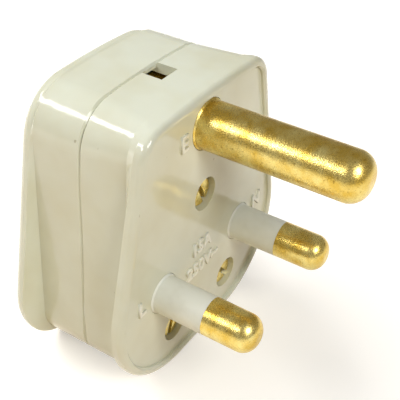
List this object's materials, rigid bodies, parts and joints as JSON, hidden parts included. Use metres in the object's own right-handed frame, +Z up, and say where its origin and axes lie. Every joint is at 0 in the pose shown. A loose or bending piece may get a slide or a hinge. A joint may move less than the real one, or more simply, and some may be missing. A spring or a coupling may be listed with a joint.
{
  "type": "round pin plug",
  "caption": "Rewirable round pin mains plug: flared two-part moulded body, long earth pin, sleeved live and neutral pins, screws in the pin face.",
  "frame": {"origin": "on the pin face, halfway between the live and neutral pins", "axes": "+X to the right for someone facing the pins, +Y into the plug, away from the pins, +Z up towards the earth pin"},
  "size_m": [0.0522, 0.0544, 0.0548],
  "materials": {
    "body": "moulded, glossy, warm ivory",
    "pins": "turned brass with light handling marks",
    "sleeves": "moulded, satin, cool off-white",
    "screws": "machined brass, slotted",
    "grip": "moulded, satin, off-white"
  },
  "bodies": {
    "root": {"base": "body", "cover": "body", "earth_pin": "pins", "live_pin": "pins", "neutral_pin": "pins", "live_sleeve": "sleeves", "neutral_sleeve": "sleeves", "earth_terminal_screw": "screws", "live_terminal_screw": "screws", "neutral_terminal_screw": "screws", "cover_screw": "screws", "cover_screw_retainer": "grip", "cover_insert": "screws", "cord_grip_bar": "grip", "cord_grip_screw_left": "screws", "cord_grip_screw_right": "screws", "cord_grip_nut_left": "screws", "cord_grip_nut_right": "screws"}
  },
  "joints": []
}
